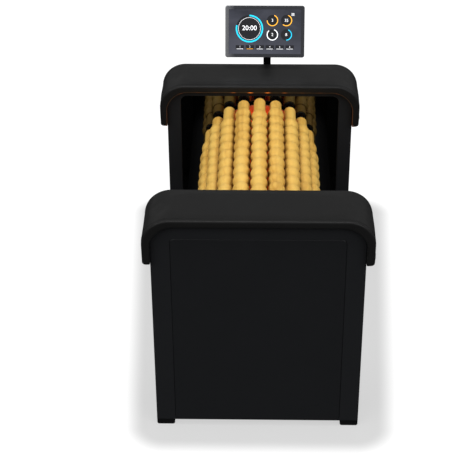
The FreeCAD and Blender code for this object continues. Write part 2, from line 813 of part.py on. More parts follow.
def hub_bearings():
    """Ball bearings on the fixed axle: two in the front hub and one in the rear hub."""
    outer = HUB_BORE - SNUG
    inner = AXLE_RADIUS + FIT
    race = BEARING_RACE
    bearings = []
    for y0 in (-REAR_HUB_END + 4, -FRONT_HUB_END + 2, REAR_HUB_END - BEARING_WIDTH - 4):
        y1 = y0 + BEARING_WIDTH
        low = y0 + BEARING_STEP
        high = y1 - BEARING_STEP
        points = [
            (inner, y0), (inner + race, y0), (inner + race, low), (outer - race, low), (outer - race, y0),
            (outer, y0), (outer, y1), (outer - race, y1), (outer - race, high), (inner + race, high),
            (inner + race, y1), (inner, y1),
        ]
        bearings.append(turned(points, 0, DRUM_Z))
    return group(bearings)


def polar(radius, degrees):
    """A point about the drum's axis, at an angle from the top towards +X."""
    angle = math.radians(degrees)
    return V(radius * math.sin(angle), 0, DRUM_Z + radius * math.cos(angle))


def sector(inner, outer, spread, y0, y1):
    """A curved block about the drum's axis, as wide to the left of the top as to the right."""
    edges = [
        arc(polar(inner, -spread), polar(inner, 0), polar(inner, spread)),
        line(polar(inner, spread), polar(outer, spread)),
        arc(polar(outer, spread), polar(outer, 0), polar(outer, -spread)),
        line(polar(outer, -spread), polar(inner, -spread)),
    ]
    return prism(edges, y0, y1)


def lamp_places():
    return [polar(LAMP_RING, degrees) for degrees in LAMP_ANGLES]


def lamp_carrier():
    """Plate on the axle that holds the rear ends of the lamps and of their reflector."""
    y0 = CARRIER_IN
    y1 = CARRIER_IN + CARRIER_THICKNESS
    plate = sector(AXLE_RADIUS - 1, CARRIER_RADIUS, CARRIER_SPREAD, y0, y1)
    plate = plate.fuse(ring(CARRIER_COLLAR, AXLE_RADIUS - 1, y0, y1, 0, DRUM_Z))
    holes = [bar(LAMP_CAP + FIT, y0 - 1, y1 + 1, place.x, place.z) for place in lamp_places()]
    return plate.cut(Part.makeCompound(holes))


def fixed_axle():
    """Tube that stands still inside the drum and carries the lamps."""
    tube = ring(AXLE_RADIUS, AXLE_BORE, -AXLE_HALF, AXLE_HALF, 0, DRUM_Z)
    return tube.fuse([lamp_carrier(), front(lamp_carrier())]).removeSplitter()


def infrared_lamps():
    """Four quartz tubes with ceramic ends, side by side under the top of the drum."""
    end = LAMP_HALF
    neck = LAMP_HALF - LAMP_CAP_LENGTH
    points = [
        (0, -end), (LAMP_CAP, -end), (LAMP_CAP, -neck), (LAMP_RADIUS, -neck),
        (LAMP_RADIUS, neck), (LAMP_CAP, neck), (LAMP_CAP, end), (0, end),
    ]
    return group([turned(points, place.x, place.z) for place in lamp_places()])


def lamp_reflector():
    """Polished trough under the lamps, held between the two carriers."""
    floor = REFLECTOR_RADIUS + REFLECTOR_SHEET
    lip = math.degrees(REFLECTOR_SHEET / REFLECTOR_RIM)
    outside = sector(REFLECTOR_RADIUS, REFLECTOR_RIM, REFLECTOR_SPREAD, -CARRIER_IN, CARRIER_IN)
    inside = sector(floor, REFLECTOR_RIM + 1, REFLECTOR_SPREAD - lip, -CARRIER_IN - 1, CARRIER_IN + 1)
    return outside.cut(inside)


def axle_clamps():
    """Split collars that hold the axle against the plates of the frames."""
    y0 = PLATE_IN + AXLE_PLATE
    y1 = y0 + COLLAR_WIDTH
    half = COLLAR_SPLIT
    collar = ring(COLLAR_RADIUS, AXLE_RADIUS + FIT, y0, y1, 0, DRUM_Z)
    ears = box(-COLLAR_EAR, COLLAR_EAR, y0, y1, DRUM_Z + COLLAR_RADIUS - 4, DRUM_Z + COLLAR_EAR_TOP)
    split = box(-half, half, y0 - 1, y1 + 1, DRUM_Z + AXLE_RADIUS - 5, DRUM_Z + COLLAR_EAR_TOP + 1)
    bolt_z = DRUM_Z + (COLLAR_RADIUS + COLLAR_EAR_TOP) / 2
    bolt = pin(COLLAR_BOLT, -COLLAR_EAR - 3, COLLAR_EAR + 3, (y0 + y1) / 2, bolt_z)
    collar = collar.fuse(ears).cut(split).fuse(bolt).removeSplitter()
    return group([collar, front(collar)])


# ---- drive --------------------------------------------------------------------------------------
# The belt's wheels as x, z, radius and the side of the belt they touch: 1 the ribs, -1 the back.
BELT_WHEELS = (
    (0.0, DRIVE_Z, DRIVE_RADIUS, 1),
    (IDLER_X, IDLER_Z, IDLER_RADIUS, -1),
    (0.0, DRUM_Z, DRIVEN_RADIUS, 1),
)


def belt_line(offset):
    """Closed path round the wheels at an offset outside the belt's inner face, as lines and arcs."""
    wheels = []
    for x, z, radius, side in BELT_WHEELS:
        outside = offset if side > 0 else BELT_THICKNESS - offset
        wheels.append((x, z, radius + BELT_GAP + outside, side))
    headings = []
    for here, there in zip(wheels, wheels[1:] + wheels[:1]):
        dx = there[0] - here[0]
        dz = there[1] - here[1]
        lean = math.asin((here[3] * here[2] - there[3] * there[2]) / math.hypot(dx, dz))
        headings.append(math.atan2(dz, dx) + lean)
    arcs = []
    for number, (x, z, radius, side) in enumerate(wheels):
        arrive = headings[number - 1] - side * math.pi / 2
        leave = headings[number] - side * math.pi / 2
        sweep = ((leave - arrive) * side) % (2 * math.pi) * side
        angles = (arrive, arrive + sweep / 2, arrive + sweep)
        arcs.append([V(x + radius * math.cos(a), 0, z + radius * math.sin(a)) for a in angles])
    edges = [arc(*points) for points in arcs]
    edges += [line(here[2], there[0]) for here, there in zip(arcs, arcs[1:] + arcs[:1])]
    return edges


def belt_band(low, high, y0, y1):
    return prism(belt_line(high), y0, y1).cut(prism(belt_line(low), y0 - 1, y1 + 1))


def rib_middles():
    return [BELT_IN + RIB_PITCH * (index + 0.5) for index in range(RIB_COUNT)]


def drive_belt():
    """Ribbed belt round the drive pulley, the driven pulley and, on its back, the idler."""
    belt = belt_band(0, BELT_THICKNESS, BELT_IN, BELT_IN + BELT_WIDTH)
    half = RIB_WIDTH / 2
    ribs = [belt_band(-RIB_DEPTH, 0, middle - half, middle + half) for middle in rib_middles()]
    return front(belt.multiFuse(ribs).removeSplitter())


def grooved_wheel(radius, bore, x, z, boss):
    """Pulley with a flange each side, a groove for every rib of the belt and a boss on one side."""
    y0 = BELT_IN - 1
    y1 = BELT_IN + BELT_WIDTH + 1
    flange = radius + FLANGE_RISE
    floor = radius - GROOVE_DEPTH
    half = GROOVE_WIDTH / 2
    outer = y1 + FLANGE_WIDTH
    points = [(bore, y0 - FLANGE_WIDTH), (flange, y0 - FLANGE_WIDTH), (flange, y0), (radius, y0)]
    for middle in rib_middles():
        points += [(radius, middle - half), (floor, middle - half)]
        points += [(floor, middle + half), (radius, middle + half)]
    points += [(radius, y1), (flange, y1), (flange, outer)]
    points += [(boss, outer), (boss, outer + BOSS_WIDTH), (bore, outer + BOSS_WIDTH)]
    return turned(points, x, z)


def driven_pulley():
    """Large pulley fixed on the front hub, with five holes through its web."""
    wheel = grooved_wheel(DRIVEN_RADIUS, HUB_RADIUS + SNUG, 0, DRUM_Z, HUB_RADIUS + 15)
    y0 = BELT_IN - 6
    y1 = BELT_IN + BELT_WIDTH + 10
    holes = [bar(SPOKE_HOLE_RADIUS, y0, y1, x, DRUM_Z + z) for x, z in around(SPOKE_HOLES, SPOKE_HOLE_RING)]
    return front(wheel.cut(Part.makeCompound(holes)))


def drive_pulley():
    """Small pulley with the gearbox output shaft that turns with it."""
    wheel = grooved_wheel(DRIVE_RADIUS, KEY_BORE, 0, DRIVE_Z, SHAFT_RADIUS + 7.5)
    shaft = bar(SHAFT_RADIUS, BELT_IN - 6, SHAFT_END, 0, DRIVE_Z)
    return front(wheel.fuse(shaft).removeSplitter())


def idler_pulley():
    """Plain pulley between two flanges that presses on the back of the belt."""
    y0 = BELT_IN - 3
    y1 = BELT_IN + BELT_WIDTH + 3
    bore = IDLER_STUD + FIT
    flange = IDLER_RADIUS + 3
    points = [
        (bore, y0), (flange, y0), (flange, y0 + 2), (IDLER_RADIUS, y0 + 2),
        (IDLER_RADIUS, y1 - 2), (flange, y1 - 2), (flange, y1), (bore, y1),
    ]
    return front(turned(points, IDLER_X, IDLER_Z))


def gearmotor():
    """Worm gearbox on the frame's lower plate with a finned motor along X."""
    y0 = PLATE_IN + GEAR_PLATE
    y1 = y0 + GEARBOX_DEPTH
    y = (y0 + y1) / 2
    half = GEARBOX_HALF
    gearbox = slab(-half, half, DRIVE_Z - half, DRIVE_Z + half, GEARBOX_CORNER, y0, y1)
    gearbox = gearbox.cut(bar(SHAFT_RADIUS + FIT, y0 - 1, SHAFT_END + 2, 0, DRIVE_Z))
    motor = pin(MOTOR_RADIUS, MOTOR_START, MOTOR_START + MOTOR_LENGTH, y, DRIVE_Z)
    starts = [MOTOR_START + 20 + FIN_PITCH * index for index in range(FIN_COUNT)]
    fins = [pin(FIN_RADIUS, start, start + FIN_WIDTH, y, DRIVE_Z) for start in starts]
    terminal_box = box(90, 170, y - 30, y + 30, DRIVE_Z + 30, DRIVE_Z + 70)
    return front(gearbox.multiFuse([motor, terminal_box] + fins).removeSplitter())


def control_unit():
    """Speed controller with its heat sink on the rear frame's lower plate."""
    y0 = PLATE_IN + GEAR_PLATE
    y1 = y0 + CONTROL_DEPTH
    z0 = DRIVE_Z - CONTROL_TALL
    z1 = DRIVE_Z + CONTROL_TALL
    body = slab(-CONTROL_HALF, CONTROL_HALF, z0, z1, 5, y0, y1)
    fins = []
    for index in range(SINK_FINS):
        x0 = SINK_PITCH * (index - SINK_FINS // 2) - SINK_FIN / 2
        fins.append(box(x0, x0 + SINK_FIN, y1, y1 + SINK_DEPTH, z0 + 5, z1 - 5))
    return body.multiFuse(fins).removeSplitter()


def inlet_slab(half, z0, z1, radius, y0, y1):
    return slab(INLET_X - half, INLET_X + half, INLET_Z + z0, INLET_Z + z1, radius, y0, y1)


def power_inlet():
    """Mains inlet with three pins below the well of its rocker switch."""
    face = TOWER_OUT
    flange = inlet_slab(28, -32, 32, 4, face, face + 2.5)
    body = inlet_slab(23.5, -27.5, 27.5, 2.5, face - 26, face)
    socket = inlet_slab(12.5, -24, -7, 3, face - 16, face + 3)
    well = inlet_slab(14.5, 3, 25, 0.5, face - 12, face + 3)
    module = flange.fuse(body).cut(socket).cut(well)
    pins = []
    for x in (INLET_X - 7, INLET_X, INLET_X + 7):
        pins.append(box(x - 2, x + 2, face - 17, face - 6, INLET_Z - 17, INLET_Z - 15))
    reach = ROCKER_PIN_LENGTH / 2
    pivot = pin(ROCKER_PIN, INLET_X - reach, INLET_X + reach, ROCKER_PIVOT_Y, ROCKER_PIVOT_Z)
    return module.multiFuse(pins + [pivot]).removeSplitter()


def power_switch():
    """Rocker that lies in its well with the lower half pressed."""
    y = ROCKER_PIVOT_Y
    z = ROCKER_PIVOT_Z
    edges = [
        line(V(0, y - 5, z - 9), V(0, y + 3.5, z - 9.8)),
        arc(V(0, y + 3.5, z - 9.8), V(0, y + 2.2, z), V(0, y + 3.5, z + 9.8)),
        line(V(0, y + 3.5, z + 9.8), V(0, y - 5, z + 9)),
        line(V(0, y - 5, z + 9), V(0, y - 5, z - 9)),
    ]
    rocker = Part.Face(Part.Wire(edges)).extrude(V(2 * ROCKER_HALF, 0, 0))
    rocker.translate(V(INLET_X - ROCKER_HALF, 0, 0))
    rocker = rocker.cut(pin(ROCKER_PIN + FIT, INLET_X - 20, INLET_X + 20, y, z))
    rocker.rotate(V(INLET_X, y, z), X_AXIS, ROCKER_TILT)
    return rocker


# ---- display ------------------------------------------------------------------------------------
def monitor_post():
    """Tube that carries the display, closed below by a round plug."""
    return stub(POST_RADIUS, POST_BOTTOM, POST_TOP).cut(
        stub(POST_RADIUS - POST_WALL, POST_BOTTOM + POST_PLUG, POST_TOP + 1)
    )


def post_brackets():
    """Clamp blocks that hold the post on the rear tower."""
    brackets = []
    half = BRACKET_RADIUS
    plate_y = TOWER_OUT + BRACKET_PLATE
    for z in BRACKET_HEIGHTS:
        plate = slab(POST_X - 32, POST_X + 32, z - 22, z + 22, 5, TOWER_OUT, plate_y)
        block = box(POST_X - half, POST_X + half, plate_y, POST_Y, z - BRACKET_TALL, z + BRACKET_TALL)
        cheek = stub(half, z - BRACKET_TALL, z + BRACKET_TALL)
        bore = stub(POST_RADIUS + SNUG, z - 30, z + 30)
        brackets.append(plate.fuse([block, cheek]).cut(bore).removeSplitter())
    return group(brackets)


def swivel_head():
    """Cap that turns on the top of the post, with two ears for the tilt pin."""
    top = POST_TOP + HEAD_ABOVE
    cap = stub(HEAD_RADIUS, POST_TOP - HEAD_BELOW, top)
    cap = cap.makeFillet(HEAD_ROUND, edges_where(cap, lambda p: abs(p.z - top) < 0.01))
    socket = stub(POST_RADIUS + FIT, POST_TOP - HEAD_BELOW - 1, POST_TOP + HEAD_CLEARANCE)
    ears = []
    for x0 in (POST_X - EAR_OUT, POST_X + EAR_IN):
        x1 = x0 + EAR_OUT - EAR_IN
        ears.append(box(x0, x1, POST_Y - 10, POST_Y + 10, top - 4, PIVOT_Z))
        ears.append(pin(EAR_RADIUS, x0, x1, POST_Y, PIVOT_Z))
    hole = pin(PIN_RADIUS + FIT, POST_X - 30, POST_X + 30, POST_Y, PIVOT_Z)
    return cap.fuse(ears).cut(socket).cut(hole).removeSplitter()


def tilted(shape):
    """Leans a display piece back about the tilt pin."""
    shape.rotate(PIVOT, X_AXIS, -DISPLAY_TILT)
    return shape


def tilt_bracket():
    """Knuckle between the ears and the plate behind the display."""
    x0 = POST_X - EAR_IN + EAR_PLAY
    x1 = POST_X + EAR_IN - EAR_PLAY
    y0 = POST_Y - DISPLAY_STANDOFF
    z = PIVOT_Z + DISPLAY_RISE
    knuckle = pin(EAR_RADIUS, x0, x1, POST_Y, PIVOT_Z)
    web = box(x0, x1, y0 + PLATE_SHEET, POST_Y, PIVOT_Z - 8, PIVOT_Z + 8)
    side = PLATE_SIDE
    plate = slab(DISPLAY_X - side, DISPLAY_X + side, z - side, z + side, 6, y0, y0 + PLATE_SHEET)
    hole = pin(PIN_RADIUS, POST_X - 30, POST_X + 30, POST_Y, PIVOT_Z)
    return tilted(knuckle.fuse([web, plate]).cut(hole).removeSplitter())


def tilt_pin():
    """Pin through the ears, fixed in the knuckle, with a fluted knob at one end."""
    start = POST_X - EAR_OUT - PIN_TAIL
    grip = POST_X + EAR_OUT + 1
    shank = pin(PIN_RADIUS, start, grip + 1, POST_Y, PIVOT_Z)
    head = pin(PIN_RADIUS + 3, start, start + 3, POST_Y, PIVOT_Z)
    knob = pin(KNOB_RADIUS, grip, grip + KNOB_LENGTH, POST_Y, PIVOT_Z)
    flutes = []
    for dy, dz in around(KNOB_NOTCHES, KNOB_RADIUS + 1):
        flutes.append(pin(KNOB_NOTCH, grip - 1, grip + KNOB_LENGTH + 1, POST_Y + dy, PIVOT_Z + dz))
    knob = knob.cut(Part.makeCompound(flutes))
    return tilted(shank.fuse([head, knob]).removeSplitter())


def display_slab(inset, radius, y0, y1):
    half = DISPLAY_WIDTH / 2 - inset
    tall = DISPLAY_HEIGHT / 2 - inset
    z = PIVOT_Z + DISPLAY_RISE
    return slab(DISPLAY_X - half, DISPLAY_X + half, z - tall, z + tall, radius, y0, y1)


def monitor_housing():
    """Slim case with a metal rim, a stepped back and the recess for the glass."""
    y1 = POST_Y - DISPLAY_STANDOFF
    y0 = y1 - DISPLAY_DEPTH
    step = y0 + DISPLAY_FRONT
    case = display_slab(0, DISPLAY_CORNER, y0, step)
    case = case.makeFillet(DISPLAY_ROUND, edges_where(case, lambda p: on_y(y0)(p) or on_y(step)(p)))
    case = case.fuse(display_slab(BACK_INSET, BACK_CORNER, step, y1))
    recess = display_slab(BEZEL, GLASS_CORNER, y0 - 1, y0 + GLASS_SEAT)
    return tilted(case.cut(recess).removeSplitter())


def monitor_screen():
    """Cover glass of the display, set in the recess of the case."""
    y1 = POST_Y - DISPLAY_STANDOFF - DISPLAY_DEPTH + GLASS_SEAT
    return tilted(display_slab(BEZEL + GLASS_GAP, GLASS_CORNER - GLASS_GAP, y1 - GLASS_THICKNESS, y1))


def main():
    os.makedirs("parts", exist_ok=True)
    shell = tower_shell()
    save("front_shell", front(shell))
    save("rear_shell", shell.cut(Part.makeCompound(screw_holes())))
    save("front_cover", front(cover()))
    save("rear_cover", rear_cover())
    save("cover_screws", cover_screws())
    save("front_inner_panel", front(inner_panel()))
    save("rear_inner_panel", inner_panel())
    save("front_pad", front(pad()))
    save("rear_pad", pad())
    save("light_strips", group([light_strip(), front(light_strip())]))
    save("feet", feet())
    save("front_frame", front_frame())
    save("rear_frame", frame())
    save("base_rails", base_rails())
    save("lower_casing", lower_casing())
    save("fixed_axle", fixed_axle())
    save("axle_clamps", axle_clamps())
    save("infrared_lamps", infrared_lamps())
    save("lamp_reflector", lamp_reflector())
    save("front_drum_disc", front(drum_disc(FRONT_HUB_END)))
    save("rear_drum_disc", drum_disc(REAR_HUB_END))
    save("hub_bearings", hub_bearings())
    save("roller_axles", roller_axles())
    save("roller_sleeves", roller_sleeves())
    save("axle_nuts", axle_nuts())
    save_rollers()
    save("driven_pulley", driven_pulley())
    save("drive_pulley", drive_pulley())
    save("idler_pulley", idler_pulley())
    save("drive_belt", drive_belt())
    save("gearmotor", gearmotor())
    save("control_unit", control_unit())
    save("power_inlet", power_inlet())
    save("power_switch", power_switch())
    save("monitor_post", monitor_post())
    save("post_brackets", post_brackets())
    save("swivel_head", swivel_head())
    save("tilt_bracket", tilt_bracket())
    save("tilt_pin", tilt_pin())
    save("monitor_housing", monitor_housing())
    save("monitor_screen", monitor_screen())


if __name__ == "__main__":
    main()
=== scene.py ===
"""Looks of the roller drum massager: upholstery, finishes, the display's picture, camera and light."""
import math

import bmesh
import bpy
from mathutils import Matrix, Vector


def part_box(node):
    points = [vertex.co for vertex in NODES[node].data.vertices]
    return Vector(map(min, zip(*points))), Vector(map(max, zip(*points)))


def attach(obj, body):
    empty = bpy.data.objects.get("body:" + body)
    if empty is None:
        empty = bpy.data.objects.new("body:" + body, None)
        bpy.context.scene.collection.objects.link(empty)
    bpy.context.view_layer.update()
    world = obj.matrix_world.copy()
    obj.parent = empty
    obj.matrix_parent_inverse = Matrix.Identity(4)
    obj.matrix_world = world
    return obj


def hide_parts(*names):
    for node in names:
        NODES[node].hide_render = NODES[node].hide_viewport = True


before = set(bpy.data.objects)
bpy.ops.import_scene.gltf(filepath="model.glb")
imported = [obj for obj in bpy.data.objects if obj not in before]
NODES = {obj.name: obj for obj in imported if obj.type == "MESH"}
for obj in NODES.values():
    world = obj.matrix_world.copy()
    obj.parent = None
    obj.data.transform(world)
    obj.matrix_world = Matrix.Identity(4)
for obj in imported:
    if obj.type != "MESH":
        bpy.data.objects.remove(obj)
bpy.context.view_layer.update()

# ---- driving values, in metres and radians unless a comment says otherwise ----------------------
PAD_THICKNESS = 0.028
PAD_CORNER = 0.097
TOWER_CORNER = 0.087
PAD_EDGE = 0.008    # rounding of the pads' long edges
PAD_END = 0.014     # rounding of their arms' lower ends
PAD_BOARD = 0.006   # height of the stiff board that the cover is fixed to
PAD_CROWN = 0.0035  # furthest that the foam pushes the cover out
PAD_ROWS = 150
PAD_COLUMNS = 24
CALM_ROWS = 14      # cross-sections at each arm's end over which the foam's push fades in
FOAM_STEPS = 15
SEAM_DEPTH = 0.0012
STITCH_PITCH = 0.006
STITCH_LENGTH = 0.0042
STITCH_RADIUS = 0.00045

DISPLAY_TILT = math.radians(20)

GLOW_SPOT_PITCH = 0.069  # between the bright spots of the amber strips, which are painted reflections of the drum's lamps
GLOW_SPOT_GAP = -0.003   # middle of the strips' two brightest painted spots

CAMERA_PLACE = Vector((0.0101, -4.5846, 3.3896))
CAMERA_PITCH = 0.5720
CAMERA_YAW = 0.0203
CAMERA_ROLL = -0.0042
CAMERA_LENS = 105.49  # in millimetres, as the sensor's width
SENSOR_WIDTH = 36.0

FLOOR_SIZE = 30.0
FLOOR_LIFT = 0.97     # how bright the bare floor looks to the camera, beside the light that it reflects
FLOOR_PAINTED_SHADOW = 0.395     # how much of that is taken off near the machine, as a painted shadow
PAINTED_SHADOW_MIDDLE = (0.012, 0.13)
PAINTED_SHADOW_HALF_WIDTH = 0.515
PAINTED_SHADOW_WIDENING = 0.06   # per metre towards the back
PAINTED_SHADOW_HALF_DEPTH = 0.87
PAINTED_SHADOW_CORNER = 0.12
PAINTED_SHADOW_BLUR = 0.048
SKY_STRENGTH = 0.25

# name, tilt from straight above, turn, spread (all in degrees), strength, shown in gloss reflections
SUNS = (
    ("left_overhead_box", 9, -50, 20, 0.72, True),
    ("right_overhead_box", 9, 50, 20, 0.72, True),
    ("left_front_box", 55, -45, 40, 0.92, True),
    ("right_front_box", 55, 45, 40, 0.92, True),
    ("rear_fill", 66, 180, 40, 0.6, False),
)


def srgb(red, green, blue):
    """Linear colour of an 8-bit display colour."""
    def linear(value):
        part = value / 255
        return part / 12.92 if part <= 0.04045 else ((part + 0.055) / 1.055) ** 2.4
    return (linear(red), linear(green), linear(blue), 1.0)


def lighter(colour, gain):
    return tuple(min(1.0, part * gain) for part in colour[:3]) + (1.0,)


# ---- material kit -------------------------------------------------------------------------------
class Finish:
    """A Principled material with short calls for the nodes that feed it."""

    def __init__(self, name, colour, roughness, **sockets):
        self.material = bpy.data.materials.new(name)
        self.material.use_nodes = True
        self.material.diffuse_color = colour
        self.tree = self.material.node_tree
        self.surface = self.tree.nodes["Principled BSDF"]
        self.surface.inputs["Base Color"].default_value = colour
        self.surface.inputs["Roughness"].default_value = roughness
        for socket, value in sockets.items():
            self.surface.inputs[socket.replace("_", " ")].default_value = value
        self.place = self.add("ShaderNodeTexCoord").outputs["Object"]

    def add(self, kind, inputs=None, **settings):
        node = self.tree.nodes.new(kind)
        for name, value in settings.items():
            setattr(node, name, value)
        for name, value in (inputs or {}).items():
            if isinstance(value, bpy.types.NodeSocket):
                self.tree.links.new(value, node.inputs[name])
            else:
                node.inputs[name].default_value = value
        return node

    def feed(self, socket, value):
        self.tree.links.new(value, self.surface.inputs[socket])

    def along(self, axis):
        """Object coordinate along one axis."""
        return self.add("ShaderNodeSeparateXYZ", {"Vector": self.place}).outputs[axis]

    def away(self, axis, middle):
        """Distance along one axis from a place."""
        return self.math("ABSOLUTE", self.math("SUBTRACT", self.along(axis), middle))

    def stretched(self, x, y, z):
        """Object coordinates scaled along each axis, in cells per metre."""
        mapping = self.add("ShaderNodeMapping", {"Vector": self.place, "Scale": (x, y, z)})
        return mapping.outputs["Vector"]

    def noise(self, scale, detail=3.0, vector=None, distortion=0.0):
        inputs = {
            "Vector": vector or self.place, "Scale": scale, "Detail": detail, "Distortion": distortion
        }
        return self.add("ShaderNodeTexNoise", inputs).outputs["Fac"]

    def cells(self, scale, vector=None, feature="F1"):
        inputs = {"Vector": vector or self.place, "Scale": scale}
        return self.add("ShaderNodeTexVoronoi", inputs, feature=feature).outputs["Distance"]

    def span(self, value, low, high, from_low=0.0, from_high=1.0):
        """Maps a value from one range to low..high, and holds it at the ends."""
        inputs = {
            "Value": value, "From Min": from_low, "From Max": from_high, "To Min": low, "To Max": high,
        }
        return self.add("ShaderNodeMapRange", inputs).outputs["Result"]

    def math(self, operation, first, second=0.0):
        node = self.add("ShaderNodeMath", operation=operation)
        for index, value in enumerate((first, second)):
            if isinstance(value, bpy.types.NodeSocket):
                self.tree.links.new(value, node.inputs[index])
            else:
                node.inputs[index].default_value = value
        return node.outputs["Value"]

    def blend(self, factor, first, second, mode="MIX"):
        node = self.add("ShaderNodeMix", data_type="RGBA", blend_type=mode)
        for index, value in ((0, factor), (6, first), (7, second)):
            if isinstance(value, bpy.types.NodeSocket):
                self.tree.links.new(value, node.inputs[index])
            else:
                node.inputs[index].default_value = value
        return node.outputs[2]

    def ramp(self, factor, stops):
        node = self.add("ShaderNodeValToRGB", {"Fac": factor})
        elements = node.color_ramp.elements
        while len(elements) < len(stops):
            elements.new(0.5)
        for element, (place, colour) in zip(elements, stops):
            element.position = place
            element.color = colour
        return node.outputs["Color"]

    def bump(self, height, distance, strength=1.0, below=None):
        inputs = {"Height": height, "Distance": distance, "Strength": strength}
        if below is not None:
            inputs["Normal"] = below
        return self.add("ShaderNodeBump", inputs).outputs["Normal"]


def varied(finish, colour, scale, amount, roughness, spread):
    """Cloudy variation of colour and roughness that no real surface is without."""
    cloud = finish.noise(scale, 4.0)
    rub = finish.noise(scale * 2.3, 5.0)
    shade = finish.blend(cloud, lighter(colour, 1 - amount), lighter(colour, 1 + amount))
    finish.feed("Base Color", shade)
    finish.feed("Roughness", finish.span(rub, roughness - spread, roughness + spread))


# ---- finishes -----------------------------------------------------------------------------------
def powder_coat(name, colour, roughness=0.42, specular=0.2):
    """Satin coating with its fine orange peel."""
    finish = Finish(name, colour, roughness, Specular_IOR_Level=specular)
    varied(finish, colour, 5.0, 0.06, roughness, 0.04)
    peel = finish.noise(420.0, 2.0)
    finish.feed("Normal", finish.bump(peel, 0.00012, 0.35))
    return finish.material


def leatherette(name, colour):
    """Grained imitation leather: small pebbles, creases between them and a soft sheen."""
    sockets = {"Sheen_Weight": 0.02, "Sheen_Roughness": 0.5, "Specular_IOR_Level": 0.18}
    finish = Finish(name, colour, 0.45, **sockets)
    pebbles = finish.cells(620.0, feature="SMOOTH_F1")
    creases = finish.cells(620.0, feature="DISTANCE_TO_EDGE")
    fine = finish.noise(2400.0, 3.0)
    soft = finish.noise(9.0, 4.0)
    cloud = finish.span(soft, 0.0, 1.0, 0.25, 0.75)
    shade = finish.blend(cloud, lighter(colour, 0.88), lighter(colour, 1.14))
    valley = finish.span(creases, 0.0, 1.0, 0.0, 0.12)
    finish.feed("Base Color", finish.blend(valley, lighter(colour, 0.7), shade))
    finish.feed("Roughness", finish.span(finish.noise(40.0, 4.0), 0.4, 0.5))
    grain = finish.bump(pebbles, 0.00035, 0.5)
    finish.feed("Normal", finish.bump(fine, 0.00008, 0.4, grain))
    return finish.material


def thread(name, colour):
    """Twisted sewing thread."""
    finish = Finish(name, colour, 0.75, Sheen_Weight=0.1, Specular_IOR_Level=0.2)
    twist = finish.noise(1.0, 2.0, finish.stretched(900.0, 900.0, 2600.0))
    finish.feed("Base Color", finish.blend(twist, lighter(colour, 0.7), lighter(colour, 1.3)))
    finish.feed("Normal", finish.bump(twist, 0.0002, 0.6))
    return finish.material


def gloss_black(name):
    """Black glass panel: it mirrors the drum, with faint wipe marks."""
    colour = (0.0006, 0.0006, 0.0006, 1.0)
    finish = Finish(name, colour, 0.04, IOR=1.95)
    wipes = finish.noise(1.0, 5.0, finish.stretched(3.0, 3.0, 14.0), 0.6)
    finish.feed("Roughness", finish.span(wipes, 0.02, 0.07, 0.3, 0.8))
    finish.feed("Base Color", finish.blend(wipes, lighter(colour, 0.7), lighter(colour, 1.4)))
    return finish.material


def beech(name):
    """Varnished beech: long grain along the roller, short dark flecks, a thin clear coat and painted
    shade in its crevices.
    """
    pale = srgb(238, 196, 102)
    mid = srgb(226, 178, 84)
    dark = srgb(190, 138, 54)
    finish = Finish(name, mid, 0.48, Specular_IOR_Level=0.2, Coat_Weight=0.05, Coat_Roughness=0.35)
    drift = finish.noise(3.5, 3.0)
    rings = finish.noise(1.0, 3.0, finish.stretched(38.0, 2.2, 38.0), 0.8)
    grain = finish.ramp(rings, [(0.3, pale), (0.52, mid), (0.74, dark)])
    flecks = finish.noise(1.0, 2.0, finish.stretched(720.0, 46.0, 720.0))
    fleck_mask = finish.span(flecks, 0.0, 1.0, 0.6, 0.72)
    speckled = finish.blend(finish.math("MULTIPLY", fleck_mask, 0.35), grain, dark)
    tint = finish.blend(finish.span(drift, 0.0, 0.5, 0.35, 0.7), speckled, pale)
    # painted shade: darker brown where ambient occlusion finds crevices between the beads and between the
    # rollers
    crevice = finish.add("ShaderNodeAmbientOcclusion", {"Distance": 0.03}, samples=4).outputs["AO"]
    crevice_painted_shade = finish.blend(finish.span(crevice, 0.0, 1.0, 0.2, 0.8), srgb(112, 68, 18), tint)
    finish.feed("Base Color", crevice_painted_shade)
    finish.feed("Roughness", finish.span(rings, 0.42, 0.56))
    finish.feed("Normal", finish.bump(flecks, 0.00012, 0.5))
    return finish.material


def brushed(name, colour, roughness=0.3):
    """Turned or drawn bright metal with fine lines."""
    finish = Finish(name, colour, roughness, Metallic=1.0)
    lines = finish.noise(1.0, 4.0, finish.stretched(60.0, 1800.0, 60.0))
    finish.feed("Roughness", finish.span(lines, roughness - 0.08, roughness + 0.12))
    shade = finish.blend(finish.noise(14.0), lighter(colour, 0.86), lighter(colour, 1.06))
    finish.feed("Base Color", shade)
    finish.feed("Normal", finish.bump(lines, 0.00004, 0.4))
    return finish.material


def moulded(name, colour, roughness=0.55, grain=900.0, depth=0.00008, **sockets):
    """Moulded plastic or rubber with a fine spark-eroded texture."""
    finish = Finish(name, colour, roughness, **sockets)
    varied(finish, colour, 12.0, 0.08, roughness, 0.05)
    finish.feed("Normal", finish.bump(finish.noise(grain, 2.0), depth, 0.5))
    return finish.material


def amber_strip(name):
    """Amber strip under the pad's lip; its glow, faint along it and in bright spots near the middle, is
    painted reflection of the drum's lamp light.
    """
    finish = Finish(name, srgb(66, 50, 36), 0.35, Coat_Weight=0.1)
    # painted reflection: bright spots near the middle of the strip, over a faint glow all along it
    from_gap = finish.math("SUBTRACT", finish.along("X"), GLOW_SPOT_GAP)
    wave = finish.math("COSINE", finish.math("MULTIPLY", from_gap, 2 * math.pi / GLOW_SPOT_PITCH))
    spot = finish.math("POWER", finish.math("MAXIMUM", finish.math("MULTIPLY", wave, -1.0), 0.0), 2.5)
    shine = finish.span(finish.away("X", GLOW_SPOT_GAP), 1.7, 0.06, 0.04, 0.12)
    glow = finish.math("ADD", 0.008, finish.math("MULTIPLY", spot, shine))
    uneven = finish.span(finish.noise(30.0), 0.7, 1.3)
    finish.feed("Emission Strength", finish.math("MULTIPLY", glow, uneven))
    finish.surface.inputs["Emission Color"].default_value = srgb(235, 118, 34)
    finish.feed("Roughness", finish.span(finish.noise(60.0), 0.3, 0.45))
    return finish.material


